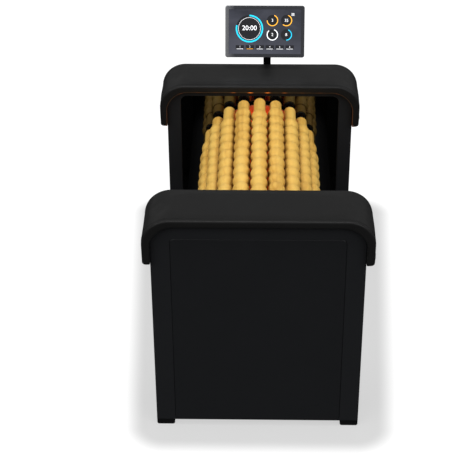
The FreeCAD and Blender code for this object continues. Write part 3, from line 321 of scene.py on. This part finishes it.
def ruby_glow(name):
    """Ruby quartz tube: it glows most at its ends, and the two middle tubes are dimmed between them."""
    finish = Finish(name, srgb(190, 30, 10), 0.12, Coat_Weight=1.0)
    low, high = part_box("infrared_lamps")
    half = (high.y - low.y) / 2
    ends = finish.span(finish.away("Y", (low.y + high.y) / 2), 0.0, 3.2, half - 0.045, half - 0.02)
    outer = finish.span(finish.away("X", 0.0), 0.04, 1.0, 0.04, 0.05)
    glow = finish.math("MAXIMUM", outer, ends)
    ripple = finish.span(finish.noise(1.0, 2.0, finish.stretched(20.0, 160.0, 20.0)), 0.9, 1.6)
    finish.feed("Emission Strength", finish.math("MULTIPLY", ripple, glow))
    finish.surface.inputs["Emission Color"].default_value = srgb(255, 104, 36)
    return finish.material


def drum_bronze(name):
    """Bronze-brown coat of the drum's end discs, with painted lamp light making the faces towards the
    lamps paler.
    """
    finish = Finish(name, srgb(80, 56, 34), 0.45, Specular_IOR_Level=0.3)
    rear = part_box("rear_drum_disc")[0].y
    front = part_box("front_drum_disc")[1].y
    reach = (rear - front) / 2
    # painted light: the inner faces, which the drum's lamps shine on, are given a paler, warmer colour
    painted_light_mask = finish.span(finish.away("Y", (rear + front) / 2), 1.0, 0.0, reach + 0.001, reach + 0.002)
    cloud = finish.noise(16.0, 4.0)
    outside = finish.blend(cloud, srgb(72, 50, 30), srgb(90, 64, 40))
    painted_lamp_light = finish.blend(cloud, srgb(206, 132, 88), srgb(226, 150, 104))
    finish.feed("Base Color", finish.blend(painted_light_mask, outside, painted_lamp_light))
    finish.feed("Roughness", finish.span(finish.noise(30.0, 4.0), 0.4, 0.52))
    finish.feed("Normal", finish.bump(finish.noise(420.0, 2.0), 0.00012, 0.35))
    return finish.material


def display_frame(name):
    """Dark metal of the display's case, paler towards one side where it meets the light."""
    colour = srgb(74, 76, 82)
    finish = Finish(name, colour, 0.36, Metallic=0.65)
    low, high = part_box("monitor_housing")
    side = finish.span(finish.along("X"), 0.0, 1.0, low.x, low.x + 0.12 * (high.x - low.x))
    brush = finish.noise(1.0, 3.0, finish.stretched(30.0, 900.0, 900.0))
    body = finish.blend(brush, lighter(colour, 0.85), lighter(colour, 1.15))
    finish.feed("Base Color", finish.blend(side, srgb(150, 152, 157), body))
    finish.feed("Roughness", finish.span(brush, 0.3, 0.44))
    return finish.material


def display_glass(name):
    """Cover glass over a lit slate picture, dark at its border."""
    finish = Finish(name, srgb(12, 13, 16), 0.08, Coat_Weight=0.6, Coat_Roughness=0.03)
    low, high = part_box("monitor_screen")
    across = finish.span(finish.along("X"), 0.0, 1.0, low.x, high.x)
    upward = finish.span(finish.along("Z"), 0.0, 1.0, low.z, high.z)
    shades = [(0.0, srgb(82, 84, 96)), (0.45, srgb(62, 64, 75)), (1.0, srgb(48, 50, 60))]
    slate = finish.ramp(upward, shades)
    cloud = finish.noise(1.0, 4.0, finish.stretched(9.0, 9.0, 16.0), 0.4)
    side = finish.blend(finish.span(across, 0.0, 0.35), slate, srgb(36, 38, 46))
    picture = finish.blend(finish.span(cloud, 0.0, 0.5, 0.35, 0.75), side, srgb(96, 98, 110))
    finish.feed("Emission Color", picture)
    finish.surface.inputs["Emission Strength"].default_value = 0.9
    finish.feed("Roughness", finish.span(finish.noise(25.0), 0.05, 0.12))
    return finish.material


def lit(name, colour, strength):
    """Lit part of the display's picture, with the faint unevenness of its backlight."""
    finish = Finish(name, colour, 0.4)
    finish.surface.inputs["Emission Color"].default_value = colour
    finish.feed("Emission Strength", finish.span(finish.noise(60.0), strength * 0.92, strength * 1.08))
    finish.feed("Roughness", finish.span(finish.noise(200.0), 0.35, 0.45))
    return finish.material


def dress(material, *names):
    """Gives CAD nodes a material."""
    for name in names:
        mesh = NODES[name].data
        mesh.materials.clear()
        mesh.materials.append(material)


def dress_all():
    housing = powder_coat("tower_moulding", srgb(35, 36, 38), 0.5, 0.08)
    cover = powder_coat("cover_coating", srgb(32, 33, 35), 0.4, 0.25)
    primer = powder_coat("frame_coating", srgb(82, 84, 88), 0.5, 0.4)
    post = powder_coat("post_coating", srgb(8, 8, 9), 0.4, 0.1)
    bright = brushed("bright_steel", (0.56, 0.56, 0.57, 1.0))
    cast = brushed("cast_aluminium", (0.42, 0.43, 0.45, 1.0), 0.45)
    machined = brushed("machined_aluminium", (0.6, 0.6, 0.62, 1.0), 0.28)
    polished = brushed("polished_sheet", (0.82, 0.82, 0.82, 1.0), 0.16)
    dress(housing, "front_shell", "rear_shell")
    dress(cover, "front_cover", "rear_cover", "lower_casing")
    dress(gloss_black("gloss_panel"), "front_inner_panel", "rear_inner_panel")
    dress(amber_strip("amber_diffuser"), "light_strips")
    dress(moulded("foot_rubber", srgb(16, 16, 17), 0.6, Specular_IOR_Level=0.2), "feet")
    dress(primer, "front_frame", "rear_frame", "base_rails")
    dress(drum_bronze("drum_coating"), "front_drum_disc", "rear_drum_disc")
    dress(bright, "fixed_axle", "axle_clamps", "hub_bearings", "roller_axles", "axle_nuts")
    dress(bright, "tilt_pin", "cover_screws")
    dress(ruby_glow("infrared_tube"), "infrared_lamps")
    dress(polished, "lamp_reflector")
    dress(moulded("nylon_sleeve", srgb(224, 220, 206), 0.45), "roller_sleeves")
    rollers = [name for name in NODES if name.startswith("roller_") and name[7:].isdigit()]
    dress(beech("turned_beech"), *rollers)
    dress(machined, "driven_pulley", "drive_pulley", "idler_pulley")
    dress(moulded("belt_rubber", srgb(24, 24, 24), 0.7, 1500.0), "drive_belt")
    dress(cast, "gearmotor", "control_unit")
    dress(moulded("inlet_plastic", srgb(24, 24, 25), 0.5), "power_inlet")
    dress(moulded("rocker_plastic", srgb(30, 30, 31), 0.3), "power_switch")
    dress(post, "monitor_post", "post_brackets", "swivel_head", "tilt_bracket")
    dress(display_frame("display_case"), "monitor_housing")
    dress(display_glass("display_glass"), "monitor_screen")


# ---- pads ---------------------------------------------------------------------------------------
class Saddle:
    """The arch that a pad wraps: the tower's contour inside and the pad's rounded contour outside."""

    def __init__(self, node):
        self.low, self.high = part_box(node)
        self.middle = (self.high.x + self.low.x) / 2
        self.half = (self.high.x - self.low.x) / 2
        self.inner_half = self.half - PAD_THICKNESS
        self.inner_top = self.high.z - PAD_THICKNESS
        self.straight = self.inner_top - TOWER_CORNER - self.low.z
        self.turn = TOWER_CORNER * math.pi / 2
        self.crown = 2 * (self.inner_half - TOWER_CORNER)
        self.total = 2 * (self.straight + self.turn) + self.crown

    def station(self, place):
        """Point and outward normal on the tower's contour, a way along it from the left arm's end."""
        mirrored = place > self.total / 2
        way = self.total - place if mirrored else place
        if way < self.straight:
            point = Vector((-self.inner_half, 0, self.low.z + way))
            normal = Vector((-1, 0, 0))
        elif way < self.straight + self.turn:
            angle = (way - self.straight) / TOWER_CORNER
            normal = Vector((-math.cos(angle), 0, math.sin(angle)))
            centre = Vector((TOWER_CORNER - self.inner_half, 0, self.inner_top - TOWER_CORNER))
            point = centre + normal * TOWER_CORNER
        else:
            past = way - self.straight - self.turn
            point = Vector((TOWER_CORNER - self.inner_half + past, 0, self.inner_top))
            normal = Vector((0, 0, 1))
        if mirrored:
            point.x = -point.x
            normal.x = -normal.x
        point.x += self.middle
        return point, normal

    def thickness(self, point, normal):
        """Distance from a point of the inner contour to the outer one, along the normal."""
        start = Vector((abs(point.x - self.middle), point.z))
        way = Vector((abs(normal.x), normal.z))
        reach = min(
            (self.half - start.x) / way.x if way.x > 1e-6 else 1.0,
            (self.high.z - start.y) / way.y if way.y > 1e-6 else 1.0,
        )
        centre = Vector((self.half - PAD_CORNER, self.high.z - PAD_CORNER))
        end = start + way * reach
        if end.x > centre.x and end.y > centre.y:
            across = start - centre
            half_b = across.dot(way)
            reach = -half_b + math.sqrt(half_b ** 2 - across.length_squared + PAD_CORNER ** 2)
        return reach

    def places(self):
        """Ways along the arch of the cross-sections, closer together at the arms' rounded ends."""
        ends = [PAD_END * (1 - math.cos(math.radians(angle))) for angle in range(0, 91, 18)]
        middle = self.total - 2 * PAD_END
        inner = [PAD_END + middle * index / PAD_ROWS for index in range(1, PAD_ROWS)]
        return ends + inner + [self.total - end for end in reversed(ends)]


def section(depth, thickness, inset):
    """Closed cross-section of a pad as (along the depth, height off the tower, part) points."""
    y_low = inset
    y_high = depth - inset
    top = thickness - inset
    rise = max(top - PAD_EDGE, PAD_BOARD + 0.0005)
    side = (PAD_BOARD + rise) / 2
    turns = [math.radians(angle) for angle in range(0, 91, 15)]
    under = y_high - y_low - 0.004
    points = []
    for index in range(PAD_COLUMNS + 1):
        points.append((y_low + 0.002 + under * index / PAD_COLUMNS, 0.0, "board"))
    points += [(y_high, PAD_BOARD / 2, "board"), (y_high, PAD_BOARD, "board"), (y_high, side, "edge")]
    for turn in turns:
        along = y_high - PAD_EDGE + PAD_EDGE * math.cos(turn)
        points.append((along, rise + (top - rise) * math.sin(turn), "edge"))
    points[-1] = points[-1][:2] + ("seam",)
    for index in range(1, PAD_COLUMNS):
        along = y_high - PAD_EDGE - (y_high - y_low - 2 * PAD_EDGE) * index / PAD_COLUMNS
        points.append((along, top, "stitch" if index in (1, PAD_COLUMNS - 1) else "crown"))
    first = len(points)
    for turn in reversed(turns):
        along = y_low + PAD_EDGE - PAD_EDGE * math.cos(turn)
        points.append((along, rise + (top - rise) * math.sin(turn), "edge"))
    points[first] = points[first][:2] + ("seam",)
    points += [(y_low, side, "edge"), (y_low, PAD_BOARD, "board"), (y_low, PAD_BOARD / 2, "board")]
    return points


def close_tube(mesh, rings):
    """Faces between rings of points, one after the other, and over both ends."""
    for first, second in zip(rings, rings[1:]):
        for index in range(len(first)):
            after = (index + 1) % len(first)
            mesh.faces.new((first[index], first[after], second[after], second[index]))
    mesh.faces.new(rings[0])
    mesh.faces.new(reversed(rings[-1]))


def pad_cover(node):
    """Cover of a pad as one closed skin, before its foam pushes it out, with each point's part."""
    saddle = Saddle(node)
    depth = saddle.high.y - saddle.low.y
    skin = bmesh.new()
    loops = []
    parts = []
    for place in saddle.places():
        point, normal = saddle.station(place)
        reach = min(place, saddle.total - place, PAD_END)
        inset = PAD_END - math.sqrt(PAD_END ** 2 - (PAD_END - reach) ** 2)
        loop = []
        for along, height, part in section(depth, saddle.thickness(point, normal), inset):
            loop.append(skin.verts.new(point + normal * height + Vector((0, saddle.low.y + along, 0))))
            parts.append(part)
        loops.append(loop)
    close_tube(skin, loops)
    bmesh.ops.recalc_face_normals(skin, faces=skin.faces)
    mesh = bpy.data.meshes.new(node + "_cover")
    skin.to_mesh(mesh)
    skin.free()
    return mesh, parts


def stuff(piece, parts):
    """Lets the foam push the cover out from the board that it is pinned to, no further than the crown."""
    board = piece.vertex_groups.new(name="board")
    held = {"board": 1.0, "seam": 0.7, "edge": 0.5}
    for index, part in enumerate(parts):
        if part in held:
            board.add([index], held[part], "REPLACE")
    rest = [vertex.co.copy() for vertex in piece.data.vertices]
    cloth = piece.modifiers.new("foam", "CLOTH")
    cloth.settings.vertex_group_mass = "board"
    cloth.settings.use_pressure = True
    cloth.settings.uniform_pressure_force = 5.0
    cloth.settings.effector_weights.gravity = 0
    cloth.settings.tension_stiffness = 40
    cloth.settings.compression_stiffness = 40
    cloth.settings.bending_stiffness = 8
    scene = bpy.context.scene
    for step in range(1, FOAM_STEPS + 1):
        scene.frame_set(step)
    swollen = piece.evaluated_get(bpy.context.evaluated_depsgraph_get())
    shaped = [vertex.co.copy() for vertex in swollen.data.vertices]
    piece.modifiers.remove(cloth)
    scene.frame_set(1)
    per_row = len(section(1.0, PAD_THICKNESS, 0.0))
    last_row = len(rest) // per_row - 1
    for index, (start, end) in enumerate(zip(rest, shaped)):
        row = index // per_row
        limit = PAD_CROWN * min(1.0, row / CALM_ROWS, (last_row - row) / CALM_ROWS)
        move = end - start
        if move.length > limit:
            move *= limit / move.length
        piece.data.vertices[index].co = start + move


def sew(mesh, parts):
    """Draws the cover in along its seams and returns the lines that the stitches follow."""
    mesh.update()
    normals = [vertex.normal.copy() for vertex in mesh.vertices]
    per_loop = len(section(1.0, PAD_THICKNESS, 0.0))
    columns = [index for index in range(per_loop) if parts[index] == "stitch"]
    rows = len(mesh.vertices) // per_loop
    for index, part in enumerate(parts):
        if part == "seam":
            mesh.vertices[index].co -= normals[index] * SEAM_DEPTH
    lines = []
    for column in columns:
        indices = [row * per_loop + column for row in range(3, rows - 3)]
        lines.append([(mesh.vertices[index].co.copy(), normals[index]) for index in indices])
    return lines


def stitch_line(mesh, line):
    """Short stitches of thread, a pitch apart along a line of (point, normal) pairs."""
    way = STITCH_PITCH
    for (start, normal), (end, _) in zip(line, line[1:]):
        span = (end - start).length
        along = (end - start).normalized()
        side = along.cross(normal).normalized()
        while way < span:
            centre = start + along * way + normal * STITCH_RADIUS * 0.6
            rings = []
            for step, girth in ((-0.5, 0.35), (-0.3, 1.0), (0.3, 1.0), (0.5, 0.35)):
                middle = centre + along * STITCH_LENGTH * step - normal * STITCH_RADIUS * (1 - girth)
                ring = []
                for angle in (math.radians(60 * index) for index in range(6)):
                    outward = side * math.cos(angle) + normal * math.sin(angle)
                    ring.append(mesh.verts.new(middle + outward * STITCH_RADIUS * girth))
                rings.append(ring)
            close_tube(mesh, rings)
            way += STITCH_PITCH
        way -= span


def make_stitches(node, lines, material):
    mesh = bmesh.new()
    for line in lines:
        stitch_line(mesh, line)
    made = bpy.data.meshes.new(node + "_stitches")
    mesh.to_mesh(made)
    mesh.free()
    made.materials.append(material)
    piece = bpy.data.objects.new(node + "_stitches", made)
    bpy.context.scene.collection.objects.link(piece)
    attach(piece, "machine")


def make_pad(node, material, thread_material):
    mesh, parts = pad_cover(node)
    piece = bpy.data.objects.new(node + "_upholstery", mesh)
    bpy.context.scene.collection.objects.link(piece)
    mesh.materials.append(material)
    stuff(piece, parts)
    make_stitches(node, sew(mesh, parts), thread_material)
    for polygon in mesh.polygons:
        polygon.use_smooth = True
    smooth = piece.modifiers.new("smooth", "SUBSURF")
    smooth.levels = 1
    smooth.render_levels = 1
    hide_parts(node)
    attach(piece, "machine")


# ---- the display's picture ----------------------------------------------------------------------
def screen_frame():
    """Matrix from picture coordinates, in metres from the middle of the glass, to the row frame."""
    low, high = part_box("monitor_screen")
    upward = Vector((0, math.sin(DISPLAY_TILT), math.cos(DISPLAY_TILT)))
    outward = Vector((0, -math.cos(DISPLAY_TILT), math.sin(DISPLAY_TILT)))
    middle = (low + high) / 2 + outward * 0.0017
    return Matrix.Translation(middle) @ Matrix((Vector((1, 0, 0)), upward, outward)).transposed().to_4x4()


def ring_faces(mesh, x, y, radius, width, start=0, sweep=360, height=0.0):
    """A ring or part of one, clockwise from the top."""
    steps = max(8, int(sweep / 5))
    rows = []
    for index in range(steps + 1):
        angle = math.radians(start + sweep * index / steps)
        direction = Vector((math.sin(angle), math.cos(angle), 0))
        centre = Vector((x, y, height))
        reaches = (radius - width / 2, radius + width / 2)
        rows.append([mesh.verts.new(centre + direction * reach) for reach in reaches])
    for first, second in zip(rows, rows[1:]):
        mesh.faces.new((first[0], first[1], second[1], second[0]))


def bar_faces(mesh, x, y, width, height, rise=0.0):
    """A flat bar, centred on a point of the picture."""
    corners = []
    for right, up in ((-1, -1), (1, -1), (1, 1), (-1, 1)):
        corners.append(mesh.verts.new((x + right * width / 2, y + up * height / 2, rise)))
    mesh.faces.new(corners)


def add_text(mesh, words, x, y, size):
    """Plain figures, centred on a point of the picture."""
    curve = bpy.data.curves.new("figures", "FONT")
    curve.body = words
    curve.size = size
    curve.align_x = "CENTER"
    curve.align_y = "CENTER"
    holder = bpy.data.objects.new("figures", curve)
    bpy.context.scene.collection.objects.link(holder)
    bpy.context.view_layer.update()
    figures = bpy.data.meshes.new_from_object(holder.evaluated_get(bpy.context.evaluated_depsgraph_get()))
    figures.transform(Matrix.Translation((x, y, 0)))
    mesh.from_mesh(figures)
    bpy.data.objects.remove(holder)
    bpy.data.meshes.remove(figures)
    bpy.data.curves.remove(curve)


def picture_piece(name, mesh, material, height):
    made = bpy.data.meshes.new(name)
    mesh.to_mesh(made)
    mesh.free()
    made.transform(screen_frame() @ Matrix.Translation((0, 0, height)))
    made.materials.append(material)
    piece = bpy.data.objects.new(name, made)
    bpy.context.scene.collection.objects.link(piece)
    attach(piece, "display")
    return piece


def make_picture():
    """A plain control page: a session clock, a row of level dials and a bar of programme keys."""
    cyan, orange, white, dark = (bmesh.new() for _ in range(4))
    ring_faces(dark, -0.062, 0.012, 0.027, 0.054)
    ring_faces(cyan, -0.062, 0.012, 0.052, 0.006, 0, 285)
    ring_faces(white, -0.062, 0.012, 0.044, 0.0012)
    add_text(white, "20:00", -0.062, 0.014, 0.027)
    dials = (
        (0.030, 0.045, orange, 250, "3"),
        (0.086, 0.045, orange, 200, "35"),
        (0.030, -0.012, white, 300, "2"),
        (0.086, -0.012, cyan, 160, "8"),
    )
    for x, y, mesh, sweep, words in dials:
        ring_faces(dark, x, y, 0.011, 0.022)
        ring_faces(mesh, x, y, 0.021, 0.0034, 20, sweep)
        add_text(white, words, x, y, 0.016)
    for index in range(6):
        x = -0.1 + 0.04 * index
        bar_faces(dark, x, -0.062, 0.034, 0.016)
        bar_faces(orange if index == 1 else white, x, -0.0688, 0.026, 0.0016, 0.0001)
        add_text(white, str(index + 1), x, -0.0605, 0.009)
    for index in range(3):
        bar_faces(white, 0.112, 0.073 - 0.004 * index, 0.012, 0.0016)
    picture_piece("screen_dark_fields", dark, lit("screen_dark", srgb(24, 25, 30), 0.6), 0.0001)
    picture_piece("screen_cyan_rings", cyan, lit("screen_cyan", srgb(30, 190, 226), 1.1), 0.0002)
    picture_piece("screen_orange_rings", orange, lit("screen_orange", srgb(240, 172, 50), 1.1), 0.0002)
    picture_piece("screen_white_figures", white, lit("screen_white", srgb(238, 240, 244), 1.1), 0.0003)


# ---- stage --------------------------------------------------------------------------------------
def soft_step(finish, value, edge, blur):
    """Runs smoothly from 0 to 1 where a value passes an edge."""
    inputs = {"Value": value, "From Min": edge - blur, "From Max": edge + blur}
    step = finish.add("ShaderNodeMapRange", inputs, interpolation_type="SMOOTHSTEP")
    return step.outputs["Result"]


def outside_painted_shadow(finish):
    """Shape of the floor's painted shadow: 0 in a rounded rectangle round the machine, a little wider
    towards the back, and 1 outside it.
    """
    middle_x, middle_y = PAINTED_SHADOW_MIDDLE
    widening = finish.math("MULTIPLY", finish.along("Y"), PAINTED_SHADOW_WIDENING)
    half_width = finish.math("ADD", widening, PAINTED_SHADOW_HALF_WIDTH - PAINTED_SHADOW_CORNER)
    beside = finish.math("SUBTRACT", finish.away("X", middle_x), half_width)
    beyond = finish.math("SUBTRACT", finish.away("Y", middle_y), PAINTED_SHADOW_HALF_DEPTH - PAINTED_SHADOW_CORNER)
    squares = [finish.math("POWER", finish.math("MAXIMUM", part, 0.0), 2.0) for part in (beside, beyond)]
    way = finish.math("SQRT", finish.math("ADD", *squares))
    return soft_step(finish, way, PAINTED_SHADOW_CORNER, PAINTED_SHADOW_BLUR)


def make_floor():
    """Floor that looks white to the camera, with a soft painted shadow near the machine, and dark in
    gloss.
    """
    finish = Finish("studio_floor", (0.12, 0.12, 0.12, 1.0), 0.9, Specular_IOR_Level=0.0)
    path = finish.add("ShaderNodeLightPath")
    pale = finish.blend(finish.noise(0.6), (0.118, 0.118, 0.118, 1.0), (0.122, 0.122, 0.122, 1.0))
    colour = finish.blend(path.outputs["Is Glossy Ray"], pale, (0.01, 0.01, 0.01, 1.0))
    finish.feed("Base Color", colour)
    # painted shadow: the floor's brightness to the camera is lowered in the field round the machine
    lift = finish.span(outside_painted_shadow(finish), FLOOR_LIFT - FLOOR_PAINTED_SHADOW, FLOOR_LIFT)
    finish.surface.inputs["Emission Color"].default_value = (1.0, 1.0, 1.0, 1.0)
    finish.feed("Emission Strength", finish.math("MULTIPLY", path.outputs["Is Camera Ray"], lift))
    mesh = bpy.data.meshes.new("studio_floor")
    corners = [(x * FLOOR_SIZE, y * FLOOR_SIZE, 0) for x, y in ((-1, -1), (1, -1), (1, 1), (-1, 1))]
    mesh.from_pydata(corners, [], [(0, 1, 2, 3)])
    mesh.materials.append(finish.material)
    floor = bpy.data.objects.new("studio_floor", mesh)
    bpy.context.scene.collection.objects.link(floor)


def make_sun(name, tilt, turn, spread, strength, in_gloss):
    """Even light from far away; turn is the side that it falls towards, anticlockwise from the back."""
    lamp = bpy.data.lights.new(name, "SUN")
    lamp.angle = math.radians(spread)
    lamp.energy = strength
    holder = bpy.data.objects.new(name, lamp)
    holder.rotation_euler = (math.radians(tilt), 0, math.radians(turn))
    holder.visible_glossy = in_gloss
    bpy.context.scene.collection.objects.link(holder)


def make_lights():
    """Two boxes overhead, two lower ones in front, a soft fill behind and a white surround."""
    for sun in SUNS:
        make_sun(*sun)
    world = bpy.data.worlds.new("studio")
    world.use_nodes = True
    tree = world.node_tree
    background = tree.nodes["Background"]
    background.inputs["Color"].default_value = (1.0, 1.0, 1.0, 1.0)
    path = tree.nodes.new("ShaderNodeLightPath")
    reach = tree.nodes.new("ShaderNodeMapRange")
    reach.inputs["To Min"].default_value = SKY_STRENGTH
    reach.inputs["To Max"].default_value = 1.0
    tree.links.new(path.outputs["Is Camera Ray"], reach.inputs["Value"])
    tree.links.new(reach.outputs["Result"], background.inputs["Strength"])
    bpy.context.scene.world = world


def make_camera():
    data = bpy.data.cameras.new("camera")
    data.lens = CAMERA_LENS
    data.sensor_width = SENSOR_WIDTH
    data.sensor_fit = "HORIZONTAL"
    data.clip_end = 100
    camera = bpy.data.objects.new("camera", data)
    level = Vector((-math.sin(CAMERA_YAW), math.cos(CAMERA_YAW), 0))
    right = Vector((math.cos(CAMERA_YAW), math.sin(CAMERA_YAW), 0))
    upward = Vector((0, 0, 1)) * math.cos(CAMERA_PITCH) + level * math.sin(CAMERA_PITCH)
    rolled_right = right * math.cos(CAMERA_ROLL) + upward * math.sin(CAMERA_ROLL)
    rolled_up = upward * math.cos(CAMERA_ROLL) - right * math.sin(CAMERA_ROLL)
    turn = Matrix((rolled_right, rolled_up, rolled_right.cross(rolled_up))).transposed()
    camera.matrix_world = Matrix.Translation(CAMERA_PLACE) @ turn.to_4x4()
    bpy.context.scene.collection.objects.link(camera)
    bpy.context.scene.camera = camera


bpy.context.scene.view_settings.view_transform = "Standard"
make_camera()
make_lights()
make_floor()
dress_all()
LEATHER = leatherette("charcoal_leatherette", srgb(26, 26, 26))
THREAD = thread("seam_thread", srgb(30, 30, 31))
for pad in ("front_pad", "rear_pad"):
    make_pad(pad, LEATHER, THREAD)
make_picture()
